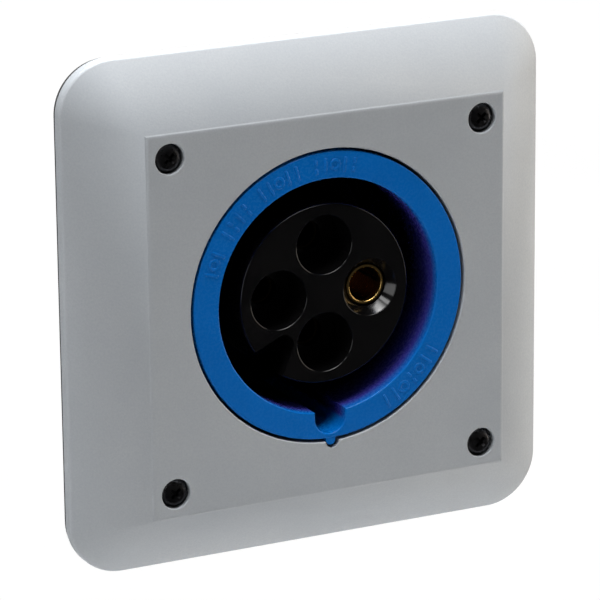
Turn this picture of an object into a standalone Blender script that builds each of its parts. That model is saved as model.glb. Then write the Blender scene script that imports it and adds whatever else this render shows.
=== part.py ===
"""Flush power socket for a generator connection: a round pin-and-sleeve outlet, three
phases and earth, in a square bevelled cover plate that is screwed over a wall recess.

Units are metres.  Every piece hangs from one empty whose local frame is the front view:
local x runs right, local y runs up and local z comes straight out of the wall, so world
-Y is the front.  The wall surface is local z = 0 and the plate is centred on the origin.
"""
import math

import bmesh
import bpy
from mathutils import Matrix, Vector

MM = 0.001
GAP = 0.3 * MM          # air left between pieces that touch on the real object
OVERRUN = 1.0 * MM      # how far a cutter runs past the face it opens

# ---- driving sizes ---------------------------------------------------------------
PLATE_WIDTH = 124 * MM
PLATE_CORNER = 13 * MM
RIM_THICKNESS = 3.2 * MM
FACE_WIDTH = 92 * MM
FACE_RISE = 12.6 * MM
PLATE_WALL = 3.0 * MM
GASKET_THICKNESS = 1.5 * MM
SEALING_LAND = 4.5 * MM         # width of the plate's flat back rim

FACE_SCREW_REACH = 40.3 * MM    # face screws sit at plus and minus this in x and y
SOCKET_RISE = 2.1 * MM          # the socket's centre is this far above the plate's
RING_RADIUS = 35 * MM
BORE_RADIUS = 28.5 * MM
HOLE_RADIUS = 35.75 * MM
PLUG_DEPTH = 37.4 * MM
CARRIER_RADIUS = 21.9 * MM
CARRIER_SET_BACK = 2.5 * MM
CONTACT_CIRCLE = 11.9 * MM      # radius of the circle that the four contacts lie on
WELL_RADIUS = 7.15 * MM
WELL_DEPTH = 9.0 * MM
EARTH_MOUTH_RADIUS = 6.9 * MM

# ---- heights above the wall surface ----------------------------------------------
RIM_BACK = GASKET_THICKNESS + GAP
RIM_FRONT = RIM_BACK + RIM_THICKNESS
FACE = RIM_FRONT + FACE_RISE
FACE_UNDERSIDE = FACE - PLATE_WALL
RING_FACE = FACE - 0.2 * MM
FLANGE_FRONT = 8.0 * MM
FLANGE_BACK = FLANGE_FRONT - 3.5 * MM
COLLAR_BACK = FLANGE_FRONT + 1.3 * MM
FLOOR_FRONT = RING_FACE - PLUG_DEPTH
FLOOR_BACK = FLOOR_FRONT - 4 * MM
CARRIER_FACE = RING_FACE - CARRIER_SET_BACK
CARRIER_BACK = FLOOR_FRONT + GAP
CAP_BACK = CARRIER_FACE - WELL_DEPTH
WELL_FLOOR = CAP_BACK - GAP              # the front of the carrier behind the cap
WELL_FLOOR_BACK = WELL_FLOOR - 2.2 * MM
PARTING = (CAP_BACK + WELL_FLOOR) / 2

# ---- the socket housing and what fixes it ----------------------------------------
FLANGE_RADIUS = 45 * MM
FLANGE_SCREW_CIRCLE = 41.5 * MM
COLLAR_RADIUS = 39.5 * MM
BARREL_RADIUS = 33 * MM
KEYWAY_WIDTH = 8 * MM
KEYWAY_REACH = 33.8 * MM
KEYWAY_RIB_RADIUS = 6.4 * MM
TAB_WIDTH = 2.4 * MM
TAB_REACH = RING_RADIUS + 1.6 * MM
TAB_SLOT_WIDTH = 3.6 * MM
TAB_SLOT_REACH = 37.4 * MM
TAB_SLOT_OFFSET = 0.4 * MM
FLANGE_SCREW_RADIUS = 1.5 * MM
FLANGE_BOSS_RADIUS = 3.6 * MM
CARRIER_SCREW_CIRCLE = 17 * MM

# ---- the contact carrier's key notch ---------------------------------------------
NOTCH_ANGLE = math.radians(226)
NOTCH_APEX = 15.6 * MM
NOTCH_RADIUS = 2.6 * MM
NOTCH_FLARE = math.radians(21)
NOTCH_DEPTH = 20 * MM

# ---- contacts: three sleeves behind the well floors and a wider, longer earth sleeve --
STUD_RADIUS = 2.5 * MM
SLEEVE_FOOT = 4.5 * MM
TERMINAL_WIDTH = 11 * MM
TERMINAL_FRONT = FLOOR_BACK - GAP
TERMINAL_LENGTH = 18 * MM
WIRE_BORE_RADIUS = 3.1 * MM
WIRE_BORE_DEPTH = 11 * MM
CLAMP_HEIGHT = TERMINAL_FRONT - TERMINAL_LENGTH + 5.5 * MM
CLAMP_REST = 4.5 * MM           # screw tip's distance from the wire bore's axis
CLAMP_SCREW_RADIUS = 1.9 * MM
CLAMP_HOLE_RADIUS = 2.3 * MM

# ---- face screws -------------------------------------------------------------------
FACE_SCREW_RADIUS = 1.75 * MM
FACE_SCREW_HEAD = 3.45 * MM
FACE_SCREW_SEAT = FACE - 2.4 * MM       # underside of the head
FACE_SCREW_TIP = -8 * MM
WASHER_THICKNESS = 0.5 * MM
WASHER_BACK = FACE_SCREW_SEAT - GAP - WASHER_THICKNESS
COUNTERBORE_RADIUS = 3.65 * MM
COUNTERBORE_FLOOR = WASHER_BACK - GAP
FACE_BOSS_RADIUS = 5.5 * MM

RIGHT, UP, LEFT, DOWN = (math.radians(degrees) for degrees in (0, 90, 180, 270))
DIAGONALS = [math.radians(degrees) for degrees in (45, 135, 225, 315)]
OUTWARD = Vector((0, 0, 1))


class Contact:
    """The sizes that differ between a phase contact and the earth contact."""

    def __init__(self, name, angle, sleeve_radius, pin_radius, lip_radius, top):
        self.name = name
        self.angle = angle
        self.sleeve_radius = sleeve_radius
        self.pin_radius = pin_radius
        self.top = top
        self.lip_radius = lip_radius
        self.bore_radius = sleeve_radius + 1.3 * MM
        self.centre = ring_point(CONTACT_CIRCLE, angle)


def ring_point(radius, angle, height=0.0):
    """A point on a circle about the socket's axis."""
    return Vector((radius * math.cos(angle), SOCKET_RISE + radius * math.sin(angle), height))


# ---- scene, materials and modelling helpers ----------------------------------------
def clear_scene():
    for item in list(bpy.data.objects):
        bpy.data.objects.remove(item, do_unlink=True)


def new_collection(name):
    collection = bpy.data.collections.new(name)
    bpy.context.scene.collection.children.link(collection)
    return collection


def new_material(name, colour, roughness, metallic=0.0):
    material = bpy.data.materials.new(name)
    material.use_nodes = True
    shader = material.node_tree.nodes["Principled BSDF"]
    shader.inputs["Base Color"].default_value = (*colour, 1.0)
    shader.inputs["Roughness"].default_value = roughness
    shader.inputs["Metallic"].default_value = metallic
    material.diffuse_color = (*colour, 1.0)
    return material


def place(item, location=(0, 0, 0), direction=OUTWARD, turn=0.0):
    """Put a piece in the plate's frame: local z along direction, then turned about z."""
    item.parent = FRONT_FRAME
    item.location = location
    item.rotation_euler = (OUTWARD.rotation_difference(direction).to_matrix()
                           @ Matrix.Rotation(turn, 3, 'Z')).to_euler()
    return item


def as_part(item, material):
    PARTS.objects.link(item)
    item.data.materials.append(material)
    return item


def as_cutter(item):
    CUTTERS.objects.link(item)
    item.hide_render = True
    item.display_type = 'WIRE'
    return item


def combine(target, other, operation):
    as_cutter(other)
    modifier = target.modifiers.new(other.name, 'BOOLEAN')
    modifier.operation = operation
    modifier.solver = 'EXACT'
    modifier.object = other


def cut(target, cutter):
    combine(target, cutter, 'DIFFERENCE')


def join(target, other):
    combine(target, other, 'UNION')


def soften(item, width, angle_degrees=30, segments=2):
    bevel = item.modifiers.new("soft edges", 'BEVEL')
    bevel.width = width
    bevel.segments = segments
    bevel.limit_method = 'ANGLE'
    bevel.angle_limit = math.radians(angle_degrees)


def filleted(profile, steps=2):
    """Round each (radius, height, fillet) corner of an open profile with a small arc."""
    points = []
    for index, corner in enumerate(profile):
        here = Vector(corner[:2])
        fillet = corner[2] if len(corner) == 3 else 0.0
        if fillet == 0.0:
            points.append(here)
            continue
        before = (Vector(profile[index - 1][:2]) - here).normalized()
        after = (Vector(profile[index + 1][:2]) - here).normalized()
        half_angle = before.angle(after) / 2
        centre = here + (before + after).normalized() * fillet / math.sin(half_angle)
        start = here + before * fillet / math.tan(half_angle) - centre
        end = here + after * fillet / math.tan(half_angle) - centre
        sweep = math.atan2(start.cross(end), start.dot(end))
        for step in range(steps + 1):
            points.append(centre + Matrix.Rotation(sweep * step / steps, 2) @ start)
    return points


def turned(name, profile, segments=32, closed=False):
    """A turned solid: the profile runs down the outer side, from top to bottom."""
    points = filleted(profile)
    edges = [(index, index + 1) for index in range(len(points) - 1)]
    if closed:
        edges.append((len(points) - 1, 0))
    mesh = bpy.data.meshes.new(name)
    mesh.from_pydata([(point.x, 0, point.y) for point in points], edges, [])
    item = bpy.data.objects.new(name, mesh)
    screw = item.modifiers.new("turn", 'SCREW')
    screw.axis = 'Z'
    screw.steps = segments
    screw.render_steps = segments
    screw.use_merge_vertices = True
    screw.merge_threshold = 0.00001
    screw.use_smooth_shade = True
    return item


def rod(name, radius, top, bottom, segments=32):
    return turned(name, [(0, top), (radius, top), (radius, bottom), (0, bottom)], segments)


def ring(name, inner, outer, top, bottom, segments=48):
    profile = [(inner, top), (outer, top), (outer, bottom), (inner, bottom)]
    return turned(name, profile, segments, closed=True)


def slab_mesh(width, height, corner, top, bottom, steps=8):
    """A block with rounded uprights, as an open bmesh."""
    bm = bmesh.new()
    middle = Matrix.Translation((0, 0, (top + bottom) / 2))
    size = Matrix.Diagonal((width, height, top - bottom, 1))
    bmesh.ops.create_cube(bm, size=1, matrix=middle @ size)
    if corner > 0:
        uprights = [edge for edge in bm.edges
                    if abs(edge.verts[0].co.z - edge.verts[1].co.z) > (top - bottom) / 2]
        bmesh.ops.bevel(bm, geom=uprights, offset=corner, segments=steps, profile=0.5,
                        affect='EDGES')
    return bm


def from_bmesh(name, bm):
    mesh = bpy.data.meshes.new(name)
    bm.to_mesh(mesh)
    bm.free()
    return bpy.data.objects.new(name, mesh)


def slab(name, width, height, corner, top, bottom, steps=8):
    return from_bmesh(name, slab_mesh(width, height, corner, top, bottom, steps))


def bevelled_block(name, foot_width, foot_corner, foot_bottom, foot_top, face_width, top):
    """The skin stretched over a rounded square foot and a smaller, sharp square face."""
    bm = slab_mesh(foot_width, foot_width, foot_corner, foot_top, foot_bottom)
    bmesh.ops.delete(bm, geom=bm.edges[:] + bm.faces[:], context='EDGES_FACES')
    bmesh.ops.create_grid(bm, x_segments=1, y_segments=1, size=face_width / 2,
                          matrix=Matrix.Translation((0, 0, top)))
    bmesh.ops.delete(bm, geom=bm.edges[:] + bm.faces[:], context='EDGES_FACES')
    bmesh.ops.convex_hull(bm, input=bm.verts[:])
    bmesh.ops.dissolve_limit(bm, angle_limit=0.002, verts=bm.verts[:], edges=bm.edges[:])
    return from_bmesh(name, bm)


# ---- cover plate --------------------------------------------------------------------
def plate_skin():
    return bevelled_block("face_plate", PLATE_WIDTH, PLATE_CORNER, RIM_BACK, RIM_FRONT,
                          FACE_WIDTH, FACE)


def plate_hollow():
    """The same shape one wall thickness smaller, open at the back."""
    run = (PLATE_WIDTH - FACE_WIDTH) / 2
    slope = math.atan2(FACE_RISE, run)
    inset_at_rim = PLATE_WALL / math.sin(slope)
    half_width = PLATE_WIDTH / 2 - SEALING_LAND
    foot_top = RIM_FRONT + (SEALING_LAND - inset_at_rim) * math.tan(slope)
    face_half = half_width - (FACE_UNDERSIDE - foot_top) / math.tan(slope)
    return bevelled_block("plate hollow", 2 * half_width, PLATE_CORNER - SEALING_LAND,
                          RIM_BACK - OVERRUN, foot_top, 2 * face_half, FACE_UNDERSIDE)


def face_screw_places():
    reach = FACE_SCREW_REACH
    return [Vector((x, y, 0)) for x, y in
            ((-reach, reach), (reach, reach), (reach, -reach), (-reach, -reach))]


def face_screw_hole(name):
    shank = FACE_SCREW_RADIUS + 0.35 * MM
    return turned(name, [(0, FACE + OVERRUN), (COUNTERBORE_RADIUS, FACE + OVERRUN),
                         (COUNTERBORE_RADIUS, COUNTERBORE_FLOOR), (shank, COUNTERBORE_FLOOR),
                         (shank, RIM_BACK - OVERRUN), (0, RIM_BACK - OVERRUN)], 24)


def build_plate(material):
    plate = place(as_part(plate_skin(), material))
    soften(plate, 0.6 * MM)
    cut(plate, place(plate_hollow()))
    inside_wall = FACE - PLATE_WALL / 2
    centre = ring_point(0, 0)
    join(plate, place(rod("hole collar", COLLAR_RADIUS, inside_wall, COLLAR_BACK, 64), centre))
    for number, angle in enumerate(DIAGONALS, 1):
        boss = rod(f"flange boss {number}", FLANGE_BOSS_RADIUS, inside_wall, COLLAR_BACK, 20)
        join(plate, place(boss, ring_point(FLANGE_SCREW_CIRCLE, angle)))
    for number, spot in enumerate(face_screw_places(), 1):
        boss = rod(f"face boss {number}", FACE_BOSS_RADIUS, inside_wall, RIM_BACK, 24)
        join(plate, place(boss, spot))
    hole = turned("socket hole", [
        (0, FACE + OVERRUN), (HOLE_RADIUS + 0.4 * MM, FACE + OVERRUN),
        (HOLE_RADIUS + 0.4 * MM, FACE), (HOLE_RADIUS, FACE - 0.4 * MM),
        (HOLE_RADIUS, COLLAR_BACK - OVERRUN), (0, COLLAR_BACK - OVERRUN)], 96)
    cut(plate, place(hole, centre))
    cut(plate, place(radial_slot("tab slot", TAB_SLOT_WIDTH, HOLE_RADIUS - 4 * MM,
                                 TAB_SLOT_REACH, FACE + OVERRUN, COLLAR_BACK - OVERRUN),
                     centre + Vector((TAB_SLOT_OFFSET, 0, 0))))
    for number, spot in enumerate(face_screw_places(), 1):
        cut(plate, place(face_screw_hole(f"face screw hole {number}"), spot))
    for number, angle in enumerate(DIAGONALS, 1):
        pilot = rod(f"flange pilot {number}", FLANGE_SCREW_RADIUS + GAP,
                    FACE_UNDERSIDE - 0.5 * MM, COLLAR_BACK - OVERRUN, 20)
        cut(plate, place(pilot, ring_point(FLANGE_SCREW_CIRCLE, angle)))


def radial_slot(name, width, inner, outer, top, bottom):
    """A round-ended slot at six o'clock, from one radius out to another."""
    item = slab(name, width, outer - inner, width * 0.499, top, bottom, steps=6)
    for vertex in item.data.vertices:
        vertex.co.y -= (inner + outer) / 2
    return item


def build_gasket(material):
    edge = 0.6 * MM
    width = PLATE_WIDTH - 2 * edge
    gasket = place(as_part(slab("plate_gasket", width, width, PLATE_CORNER - edge,
                                GASKET_THICKNESS, 0), material))
    opening = width - 2 * (SEALING_LAND + edge)
    cut(gasket, place(slab("gasket opening", opening, opening, PLATE_CORNER - SEALING_LAND,
                           GASKET_THICKNESS + OVERRUN, -OVERRUN)))


# ---- blue socket housing --------------------------------------------------------------
def build_housing(material, contacts):
    centre = ring_point(0, 0)
    body = turned("socket_housing", [
        (0, RING_FACE), (RING_RADIUS, RING_FACE, 0.5 * MM), (RING_RADIUS, FLANGE_FRONT),
        (FLANGE_RADIUS, FLANGE_FRONT, 0.5 * MM), (FLANGE_RADIUS, FLANGE_BACK),
        (BARREL_RADIUS, FLANGE_BACK), (BARREL_RADIUS, FLOOR_BACK, 1.0 * MM),
        (0, FLOOR_BACK)], 72)
    place(as_part(body, material), centre)
    tab = radial_slot("ring tab", TAB_WIDTH, RING_RADIUS - 3 * MM, TAB_REACH,
                      RING_FACE - 0.1 * MM, FLANGE_FRONT + 2 * MM)
    join(body, place(tab, centre))
    rib = rod("keyway rib", KEYWAY_RIB_RADIUS, FLANGE_BACK + OVERRUN, FLOOR_BACK + 0.5 * MM, 32)
    join(body, place(rib, ring_point(KEYWAY_REACH - KEYWAY_WIDTH / 2, DOWN)))
    bore = turned("socket bore", [
        (0, RING_FACE + OVERRUN), (BORE_RADIUS + 0.6 * MM, RING_FACE + OVERRUN),
        (BORE_RADIUS + 0.6 * MM, RING_FACE), (BORE_RADIUS, RING_FACE - 0.6 * MM),
        (BORE_RADIUS, FLOOR_FRONT, 1.0 * MM), (0, FLOOR_FRONT)], 72)
    cut(body, place(bore, centre))
    keyway = radial_slot("keyway", KEYWAY_WIDTH, BORE_RADIUS - 8 * MM, KEYWAY_REACH,
                         RING_FACE + OVERRUN, FLOOR_FRONT + 0.2 * MM)
    cut(body, place(keyway, centre))
    for contact in contacts:
        hole = rod(f"{contact.name} floor hole", STUD_RADIUS + GAP, FLOOR_FRONT + OVERRUN,
                   FLOOR_BACK - OVERRUN, 20)
        cut(body, place(hole, contact.centre))
    for number, angle in enumerate(DIAGONALS, 1):
        hole = rod(f"flange hole {number}", FLANGE_SCREW_RADIUS + GAP,
                   FLANGE_FRONT + OVERRUN, FLANGE_BACK - OVERRUN, 20)
        cut(body, place(hole, ring_point(FLANGE_SCREW_CIRCLE, angle)))
    for number, angle in enumerate(carrier_screw_angles(), 1):
        hole = rod(f"carrier screw floor hole {number}", FLANGE_SCREW_RADIUS + GAP,
                   FLOOR_FRONT + OVERRUN, FLOOR_BACK - OVERRUN, 20)
        cut(body, place(hole, ring_point(CARRIER_SCREW_CIRCLE, angle)))


def build_seal(material):
    seal = ring("housing_seal", RING_RADIUS + 0.4 * MM, FLANGE_SCREW_CIRCLE
                - FLANGE_BOSS_RADIUS - 0.2 * MM, COLLAR_BACK - GAP, FLANGE_FRONT + GAP)
    place(as_part(seal, material), ring_point(0, 0))


# ---- black contact carrier --------------------------------------------------------------
def carrier_screw_angles():
    return DIAGONALS[1], DIAGONALS[3]


def rounded_mouth(radius, easing, steps=3):
    """Cutter outline that leaves a rounded edge where a well meets the carrier's face."""
    arc = [(radius + easing - easing * math.sin(turn), CARRIER_FACE - easing
            + easing * math.cos(turn))
           for turn in (math.pi / 2 * step / steps for step in range(steps + 1))]
    top = CARRIER_FACE + OVERRUN
    return [(0, top), (radius + easing, top)] + arc


def contact_bore(contact):
    """One cutter for the cap and the carrier: it steps in the gap between the two."""
    if contact.name == "earth":
        profile = rounded_mouth(EARTH_MOUTH_RADIUS, 0.3 * MM)
        profile.append((contact.lip_radius, contact.top))
        lip_back = PARTING
    else:
        profile = rounded_mouth(WELL_RADIUS, 0.4 * MM)
        profile.extend([(WELL_RADIUS, PARTING), (contact.lip_radius, PARTING)])
        lip_back = WELL_FLOOR_BACK
    return turned(f"{contact.name} bore", profile + [
        (contact.lip_radius, lip_back), (contact.bore_radius, lip_back),
        (contact.bore_radius, CARRIER_BACK - OVERRUN), (0, CARRIER_BACK - OVERRUN)], 28)


def key_notch():
    """A slot in the carrier's rim that widens towards the outside."""
    bm = bmesh.new()
    outer = CARRIER_RADIUS + 2 * MM
    spread = NOTCH_RADIUS / math.cos(NOTCH_FLARE) + (outer - NOTCH_APEX) * math.tan(NOTCH_FLARE)
    outline = [Vector((outer, -spread, 0)), Vector((outer, spread, 0))]
    steps = 10
    sweep = math.pi - 2 * NOTCH_FLARE
    for step in range(steps + 1):
        angle = math.pi / 2 + NOTCH_FLARE + sweep * step / steps
        outline.append(Vector((NOTCH_APEX + NOTCH_RADIUS * math.cos(angle),
                               NOTCH_RADIUS * math.sin(angle), 0)))
    face = bm.faces.new([bm.verts.new(point) for point in outline])
    raised = bmesh.ops.extrude_face_region(bm, geom=[face])
    top = [item for item in raised["geom"] if isinstance(item, bmesh.types.BMVert)]
    bmesh.ops.translate(bm, verts=top, vec=(0, 0, NOTCH_DEPTH + OVERRUN))
    bmesh.ops.recalc_face_normals(bm, faces=bm.faces[:])
    return from_bmesh("key notch", bm)


def build_carrier(material, contacts):
    """A cap with the wells in it, and the carrier behind it that holds the sleeves."""
    cap = turned("contact_cap", [
        (0, CARRIER_FACE), (CARRIER_RADIUS, CARRIER_FACE, 0.8 * MM), (CARRIER_RADIUS, CAP_BACK),
        (0, CAP_BACK)], 64)
    carrier = turned("contact_carrier", [
        (0, WELL_FLOOR), (CARRIER_RADIUS, WELL_FLOOR), (CARRIER_RADIUS, CARRIER_BACK, 1.2 * MM),
        (0, CARRIER_BACK)], 64)
    for part in (cap, carrier):
        place(as_part(part, material), ring_point(0, 0))
        for contact in contacts:
            cut(part, place(contact_bore(contact), contact.centre))
        cut(part, place(key_notch(), ring_point(0, 0, CARRIER_FACE - NOTCH_DEPTH),
                        turn=NOTCH_ANGLE))
    for number, angle in enumerate(carrier_screw_angles(), 1):
        hole = rod(f"carrier pilot {number}", FLANGE_SCREW_RADIUS + GAP,
                   CARRIER_BACK + 10 * MM, CARRIER_BACK - OVERRUN, 20)
        cut(carrier, place(hole, ring_point(CARRIER_SCREW_CIRCLE, angle)))


# ---- contacts and terminals ---------------------------------------------------------------
def build_sleeve(contact, material):
    """A slotted brass tube with a foot, and a stud that runs back through the floor."""
    foot = contact.bore_radius - GAP
    foot_top = CARRIER_BACK + SLEEVE_FOOT
    stud_end = TERMINAL_FRONT - 4 * MM
    sleeve = turned(f"{contact.name}_sleeve", [
        (0, foot_top + 1.5 * MM), (contact.pin_radius, foot_top + 1.5 * MM),
        (contact.pin_radius, contact.top - 0.5 * MM), (contact.pin_radius + 0.4 * MM, contact.top),
        (contact.sleeve_radius, contact.top, 0.2 * MM), (contact.sleeve_radius, foot_top),
        (foot, foot_top), (foot, CARRIER_BACK), (STUD_RADIUS, CARRIER_BACK),
        (STUD_RADIUS, stud_end), (0, stud_end)], 24)
    place(as_part(sleeve, material), contact.centre)
    slot_width = 0.8 * MM
    slot_top = contact.top - 2.2 * MM
    for number, turn in enumerate((RIGHT, UP), 1):
        slot = slab(f"{contact.name} sleeve slot {number}", 3 * contact.sleeve_radius,
                    slot_width, 0, slot_top, slot_top - 12 * MM)
        cut(sleeve, place(slot, contact.centre, turn=turn + contact.angle))


def build_spring(contact, material):
    """A split steel ring that squeezes the slotted part of the sleeve."""
    inner = contact.sleeve_radius + GAP
    top = contact.top - 8 * MM
    spring = ring(f"{contact.name}_spring", inner, inner + 0.6 * MM, top, top - 3 * MM, 24)
    place(as_part(spring, material), contact.centre)
    split = slab(f"{contact.name} spring split", 4 * MM, 1.0 * MM, 0, top + OVERRUN,
                 top - 3 * MM - OVERRUN)
    middle = ring_point(CONTACT_CIRCLE - inner, contact.angle)
    cut(spring, place(split, middle, turn=contact.angle))


def build_terminal(contact, material):
    """A brass block: stud hole in front, wire hole behind, clamp-screw hole at the side."""
    back = TERMINAL_FRONT - TERMINAL_LENGTH
    block = slab(f"{contact.name}_terminal", TERMINAL_WIDTH, TERMINAL_WIDTH, 1.5 * MM,
                 TERMINAL_FRONT, back, steps=3)
    place(as_part(block, material), contact.centre, turn=contact.angle)
    stud_hole = rod(f"{contact.name} stud hole", STUD_RADIUS + GAP, TERMINAL_FRONT + OVERRUN,
                    TERMINAL_FRONT - 4.3 * MM, 20)
    cut(block, place(stud_hole, contact.centre))
    wire_hole = rod(f"{contact.name} wire hole", WIRE_BORE_RADIUS, back + WIRE_BORE_DEPTH,
                    back - OVERRUN, 24)
    cut(block, place(wire_hole, contact.centre))
    screw_hole = rod(f"{contact.name} clamp hole", CLAMP_HOLE_RADIUS, TERMINAL_WIDTH, 0, 20)
    axis_point = contact.centre + Vector((0, 0, CLAMP_HEIGHT))
    cut(block, place(screw_hole, axis_point, radial(contact)))


def radial(contact):
    return Vector((math.cos(contact.angle), math.sin(contact.angle), 0))


def build_clamp(contact, screw_material, pad_material):
    """The clamp screw and the pad at its tip, both on the screw's own axis."""
    along = radial(contact)
    tip = contact.centre + Vector((0, 0, CLAMP_HEIGHT)) + along * CLAMP_REST
    pad = rod(f"{contact.name}_clamp_pad", CLAMP_SCREW_RADIUS, -GAP, -1.3 * MM, 16)
    place(as_part(pad, pad_material), tip, along)
    screw = turned(f"{contact.name}_clamp_screw", [
        (0, 8 * MM), (3 * MM, 8 * MM, 0.4 * MM), (3 * MM, 6 * MM),
        (CLAMP_SCREW_RADIUS, 6 * MM), (CLAMP_SCREW_RADIUS, 0.4 * MM), (1.5 * MM, 0), (0, 0)], 16)
    place(as_part(screw, screw_material), tip, along)
    slot = slab(f"{contact.name} driver slot", 8 * MM, 0.8 * MM, 0, 9 * MM, 7 * MM)
    cut(screw, place(slot, tip, along))


# ---- screws ---------------------------------------------------------------------------------
def cross_recess(screw, name, location, top, reach, direction=OUTWARD):
    """Two crossed slots, as in a cross-head screw."""
    for number, turn in enumerate((RIGHT, UP), 1):
        slot = slab(f"{name} cross {number}", 2 * reach, 0.8 * MM, 0, top + OVERRUN,
                    top - 1.2 * MM)
        cut(screw, place(slot, location, direction, turn))


def pan_screw(name, location, head_radius, shank_radius, length, direction=OUTWARD):
    """A pan-head screw whose origin is on its axis, at the underside of the head."""
    head_height = 0.6 * head_radius
    screw = turned(name, [
        (0, head_height), (head_radius, head_height, 0.55 * head_radius), (head_radius, 0),
        (shank_radius, 0), (shank_radius, 1 * MM - length), (0.6 * shank_radius, -length),
        (0, -length)], 16)
    place(screw, location, direction)
    cross_recess(screw, name, location, head_height, 0.55 * head_radius, direction)
    return screw


def build_face_screws(screw_material, washer_material):
    for number, spot in enumerate(face_screw_places(), 1):
        seat = spot + Vector((0, 0, FACE_SCREW_SEAT))
        as_part(pan_screw(f"face_screw_{number}", seat, FACE_SCREW_HEAD, FACE_SCREW_RADIUS,
                          FACE_SCREW_SEAT - FACE_SCREW_TIP), screw_material)
        washer = ring(f"face_washer_{number}", FACE_SCREW_RADIUS + GAP, 3.3 * MM,
                      WASHER_THICKNESS, 0, 24)
        place(as_part(washer, washer_material), spot + Vector((0, 0, WASHER_BACK)))


def build_flange_screws(material):
    for number, angle in enumerate(DIAGONALS, 1):
        seat = ring_point(FLANGE_SCREW_CIRCLE, angle, FLANGE_BACK - GAP)
        as_part(pan_screw(f"flange_screw_{number}", seat, 2.9 * MM, FLANGE_SCREW_RADIUS,
                          8 * MM, -OUTWARD), material)


def build_carrier_screws(material):
    for number, angle in enumerate(carrier_screw_angles(), 1):
        seat = ring_point(CARRIER_SCREW_CIRCLE, angle, FLOOR_BACK - GAP)
        as_part(pan_screw(f"carrier_screw_{number}", seat, 2.9 * MM, FLANGE_SCREW_RADIUS,
                          12 * MM, -OUTWARD), material)


def build_socket():
    grey_plastic = new_material("grey_plastic", (0.30, 0.31, 0.32), 0.6)
    blue_plastic = new_material("blue_plastic", (0.0, 0.12, 0.42), 0.4)
    black_plastic = new_material("black_plastic", (0.012, 0.012, 0.013), 0.25)
    black_rubber = new_material("black_rubber", (0.02, 0.02, 0.02), 0.85)
    brass = new_material("brass", (0.78, 0.52, 0.18), 0.25, 1.0)
    spring_steel = new_material("spring_steel", (0.45, 0.46, 0.48), 0.3, 1.0)
    zinc_steel = new_material("zinc_steel", (0.62, 0.62, 0.60), 0.35, 1.0)
    black_steel = new_material("black_steel", (0.02, 0.02, 0.022), 0.35, 0.8)

    phase_sizes = 4.3 * MM, 3.1 * MM, 3.6 * MM, WELL_FLOOR_BACK - GAP
    contacts = [
        Contact("phase_1", LEFT, *phase_sizes),
        Contact("phase_2", UP, *phase_sizes),
        Contact("phase_3", DOWN, *phase_sizes),
        Contact("earth", RIGHT, 5.0 * MM, 4.1 * MM, 5.3 * MM, CARRIER_FACE - 2.5 * MM),
    ]
    build_plate(grey_plastic)
    build_gasket(black_rubber)
    build_housing(blue_plastic, contacts)
    build_seal(black_rubber)
    build_carrier(black_plastic, contacts)
    for contact in contacts:
        build_sleeve(contact, brass)
        build_spring(contact, spring_steel)
        build_terminal(contact, brass)
        build_clamp(contact, zinc_steel, spring_steel)
    build_face_screws(black_steel, black_rubber)
    build_flange_screws(zinc_steel)
    build_carrier_screws(zinc_steel)


clear_scene()
PARTS = new_collection("generator_inlet_box")
CUTTERS = new_collection("cutters")
FRONT_FRAME = bpy.data.objects.new("front frame", None)
FRONT_FRAME.rotation_euler = (math.pi / 2, 0, 0)
bpy.context.scene.collection.objects.link(FRONT_FRAME)
build_socket()
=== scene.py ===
"""Looks for the flush pin-and-sleeve power socket: fine meshes, finishes, light and camera.

Pieces are modelled in the front view's frame (x right, y up, z out of the wall) and turned
into the row's frame, where -Y is the front, when they are finished.
"""
import math

import bmesh
import bpy
from mathutils import Matrix, Vector


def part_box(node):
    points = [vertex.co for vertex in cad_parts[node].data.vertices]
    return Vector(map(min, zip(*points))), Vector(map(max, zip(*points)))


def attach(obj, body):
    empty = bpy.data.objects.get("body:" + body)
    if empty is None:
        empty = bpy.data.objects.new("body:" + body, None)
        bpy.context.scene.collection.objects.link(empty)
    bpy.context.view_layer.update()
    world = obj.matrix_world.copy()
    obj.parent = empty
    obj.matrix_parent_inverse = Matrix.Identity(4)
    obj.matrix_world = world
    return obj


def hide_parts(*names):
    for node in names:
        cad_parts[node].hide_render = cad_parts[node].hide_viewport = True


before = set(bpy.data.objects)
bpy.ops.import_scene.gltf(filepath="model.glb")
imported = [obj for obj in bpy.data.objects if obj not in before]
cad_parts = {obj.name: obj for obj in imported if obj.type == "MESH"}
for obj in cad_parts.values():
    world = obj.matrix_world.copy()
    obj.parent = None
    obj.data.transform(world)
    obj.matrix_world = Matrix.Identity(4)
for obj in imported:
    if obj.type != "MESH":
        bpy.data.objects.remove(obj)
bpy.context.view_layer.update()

MM = 0.001
FRONT = Matrix.Rotation(math.pi / 2, 4, 'X')    # from the front view's frame to the row's
OUT = Vector((0, 0, 1))
OVERRUN = 1.0 * MM


class Extent:
    """Where a CAD node reaches, in the front view's frame."""

    def __init__(self, node):
        low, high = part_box(node)
        self.left, self.right = low[0], high[0]
        self.bottom, self.top = low[2], high[2]
        self.back, self.front = -high[1], -low[1]
        self.width = self.right - self.left
        self.height = self.top - self.bottom
        self.middle = Vector(((self.left + self.right) / 2, (self.bottom + self.top) / 2, 0))


PLATE = Extent("face_plate")
GASKET = Extent("plate_gasket")
HOUSING = Extent("socket_housing")
SEAL = Extent("housing_seal")
CAP = Extent("contact_cap")
CARRIER = Extent("contact_carrier")

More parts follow.
